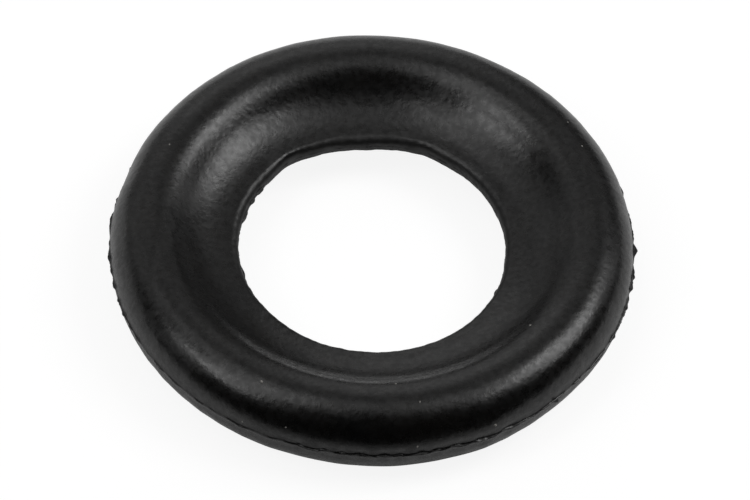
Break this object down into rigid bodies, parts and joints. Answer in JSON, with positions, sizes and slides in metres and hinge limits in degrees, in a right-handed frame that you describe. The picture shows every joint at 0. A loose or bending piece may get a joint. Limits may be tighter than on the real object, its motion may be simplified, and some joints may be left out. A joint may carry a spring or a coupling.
{
  "type": "pipe seal",
  "caption": "Round black rubber pipe seal: a thick rounded bead outside, and a web tapering on both faces to the lip round the bore.",
  "frame": {"origin": "centre of the bore on the parting plane, halfway through the seal's thickness", "axes": "+Z along the bore axis; the seal lies flat in XY and its two faces are alike; -Y is the side nearest the viewer"},
  "size_m": [0.0199, 0.0198, 0.0032],
  "materials": {
    "black_rubber": "moulded, semi-matt"
  },
  "bodies": {
    "root": {"seal_ring": "black_rubber"}
  },
  "joints": []
}
